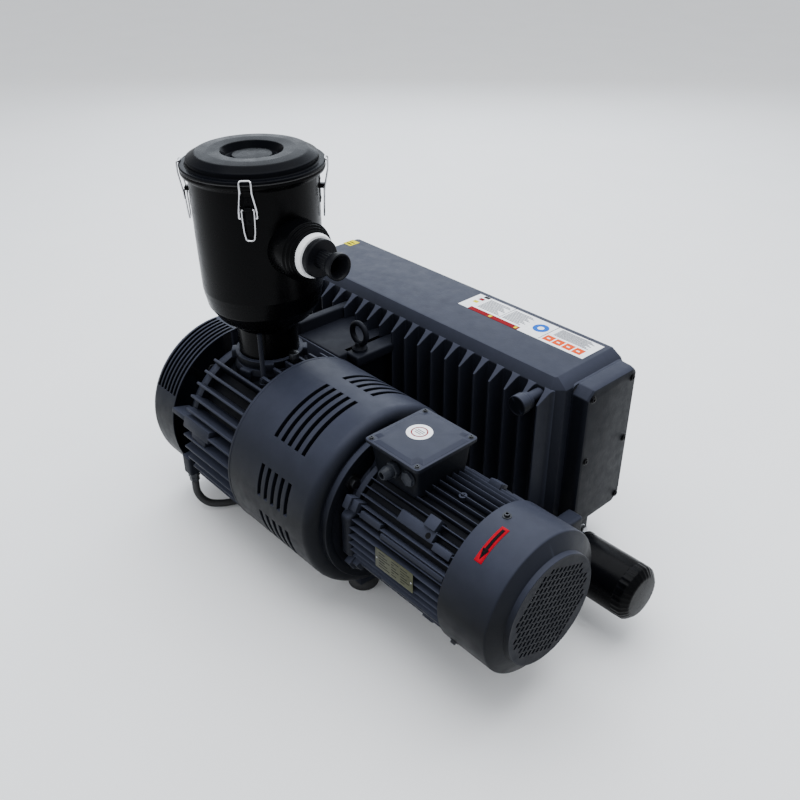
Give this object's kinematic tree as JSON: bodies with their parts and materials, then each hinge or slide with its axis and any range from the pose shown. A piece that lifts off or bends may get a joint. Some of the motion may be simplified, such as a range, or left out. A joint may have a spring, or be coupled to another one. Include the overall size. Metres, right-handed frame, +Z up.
{
  "type": "rotary vane vacuum pump",
  "caption": "Oil-lubricated rotary vane vacuum pump with close-coupled motor, finned oil separator box and inlet filter canister with wire latches.",
  "frame": {"origin": "floor level, under the centre of the bounding box", "axes": "+X along the drive shaft from the pump towards the motor's fan end, +Y towards the oil separator box, +Z up"},
  "size_m": [1.035, 0.628, 0.776],
  "materials": {
    "slate_paint": "satin dark slate grey enamel on castings and sheet",
    "black_enamel": "gloss black enamel on pressed steel",
    "dark_paint": "satin darker grey enamel",
    "zinc_plate": "zinc plated or blackened steel",
    "chrome_wire": "bright drawn wire",
    "cast_aluminium": "as cast, lightly blasted",
    "machined_iron": "turned grey iron and steel",
    "black_rubber": "matt moulded rubber",
    "black_plastic": "moulded plastic, fine texture",
    "seal_tape": "white sealing band wound round the port",
    "filter_paper": "pleated filter paper",
    "winding": "laminated core with varnished copper windings",
    "carbon": "carbon fibre vane material"
  },
  "bodies": {
    "pump": {"cable_gland": "black_plastic", "canister_body": "black_enamel", "coupling_housing": "slate_paint", "drive_end_bearing": "zinc_plate", "end_cover_gasket": "black_rubber", "exhaust_box": "slate_paint", "exhaust_end_cover": "slate_paint", "fan_cowl": "slate_paint", "fan_end_bearing": "zinc_plate", "filter_cartridge": "filter_paper", "filter_support_rod": "dark_paint", "foot_1": "black_rubber", "foot_2": "black_rubber", "foot_3": "black_rubber", "foot_4": "black_rubber", "front_plate": "slate_paint", "gas_ballast_valve": "cast_aluminium", "inlet_flange": "dark_paint", "lid_gasket": "black_rubber", "lifting_eye": "zinc_plate", "motor_end_shield": "slate_paint", "motor_flange": "slate_paint", "motor_housing": "slate_paint", "motor_stator": "winding", "oil_drain_plug": "zinc_plate", "oil_fill_plug": "slate_paint", "oil_filter": "black_enamel", "oil_filter_head": "cast_aluminium", "oil_line": "black_rubber", "oil_line_fitting": "zinc_plate", "port_adapter": "black_plastic", "port_seal": "seal_tape", "pump_cylinder": "slate_paint", "rear_fan_cover": "slate_paint", "rear_plate": "slate_paint", "separator_filter_1": "filter_paper", "separator_filter_2": "filter_paper", "terminal_box": "slate_paint", "terminal_lid": "slate_paint"},
    "drive_train": {"motor_rotor": "machined_iron", "motor_fan": "black_plastic", "motor_coupling_hub": "machined_iron", "coupling_element": "black_rubber", "pump_coupling_hub": "machined_iron", "coupling_fan": "black_plastic", "pump_rotor": "machined_iron", "vane_1": "carbon", "vane_2": "carbon", "vane_3": "carbon", "rear_fan": "black_plastic"},
    "lid": {"canister_lid": "black_enamel"},
    "inlet_valve": {"inlet_valve_plate": "cast_aluminium"},
    "latch_lever_1_body": {"latch_lever_1": "chrome_wire"},
    "latch_bail_1_body": {"latch_bail_1": "chrome_wire"},
    "latch_lever_2_body": {"latch_lever_2": "chrome_wire"},
    "latch_bail_2_body": {"latch_bail_2": "chrome_wire"},
    "latch_lever_3_body": {"latch_lever_3": "chrome_wire"},
    "latch_bail_3_body": {"latch_bail_3": "chrome_wire"},
    "latch_lever_4_body": {"latch_lever_4": "chrome_wire"},
    "latch_bail_4_body": {"latch_bail_4": "chrome_wire"}
  },
  "joints": [
    {"name": "drive_shaft_spin", "type": "hinge", "parent": "pump", "child": "drive_train", "pos_m": [-0.0135, -0.132, 0.205], "axis": [1, 0, 0], "continuous": true},
    {"name": "lid_lift", "type": "slide", "parent": "pump", "child": "lid", "axis": [0, 0, 1], "range_m": [0, 0.02]},
    {"name": "inlet_valve_lift", "type": "slide", "parent": "pump", "child": "inlet_valve", "axis": [0, 0, 1], "range_m": [0, 0.006]},
    {"name": "latch_lever_1_turn", "type": "hinge", "parent": "pump", "child": "latch_lever_1_body", "pos_m": [-0.15351, -0.21171, 0.708], "axis": [-0.6428, -0.766, 0], "range_deg": [0, 121]},
    {"name": "latch_bail_1_turn", "type": "hinge", "parent": "latch_lever_1_body", "child": "latch_bail_1_body", "pos_m": [-0.15351, -0.21171, 0.693], "axis": [0.6428, 0.766, 0], "range_deg": [0, 161]},
    {"name": "latch_lever_2_turn", "type": "hinge", "parent": "pump", "child": "latch_lever_2_body", "pos_m": [-0.32821, -0.22699, 0.708], "axis": [-0.766, 0.6428, 0], "range_deg": [0, 121]},
    {"name": "latch_bail_2_turn", "type": "hinge", "parent": "latch_lever_2_body", "child": "latch_bail_2_body", "pos_m": [-0.32821, -0.22699, 0.693], "axis": [0.766, -0.6428, 0], "range_deg": [0, 161]},
    {"name": "latch_lever_3_turn", "type": "hinge", "parent": "pump", "child": "latch_lever_3_body", "pos_m": [-0.16879, -0.03701, 0.708], "axis": [0.766, -0.6428, 0], "range_deg": [0, 121]},
    {"name": "latch_bail_3_turn", "type": "hinge", "parent": "latch_lever_3_body", "child": "latch_bail_3_body", "pos_m": [-0.16879, -0.03701, 0.693], "axis": [-0.766, 0.6428, 0], "range_deg": [0, 161]},
    {"name": "latch_lever_4_turn", "type": "hinge", "parent": "pump", "child": "latch_lever_4_body", "pos_m": [-0.34349, -0.05229, 0.708], "axis": [0.6428, 0.766, 0], "range_deg": [0, 121]},
    {"name": "latch_bail_4_turn", "type": "hinge", "parent": "latch_lever_4_body", "child": "latch_bail_4_body", "pos_m": [-0.34349, -0.05229, 0.693], "axis": [-0.6428, -0.766, 0], "range_deg": [0, 161]}
  ],
  "couplings": [
    {"joint": "latch_lever_1_turn", "follows": "lid_lift", "rad_per_m": 104.72},
    {"joint": "latch_bail_1_turn", "follows": "lid_lift", "rad_per_m": 139.63},
    {"joint": "latch_lever_2_turn", "follows": "lid_lift", "rad_per_m": 104.72},
    {"joint": "latch_bail_2_turn", "follows": "lid_lift", "rad_per_m": 139.63},
    {"joint": "latch_lever_3_turn", "follows": "lid_lift", "rad_per_m": 104.72},
    {"joint": "latch_bail_3_turn", "follows": "lid_lift", "rad_per_m": 139.63},
    {"joint": "latch_lever_4_turn", "follows": "lid_lift", "rad_per_m": 104.72},
    {"joint": "latch_bail_4_turn", "follows": "lid_lift", "rad_per_m": 139.63}
  ]
}
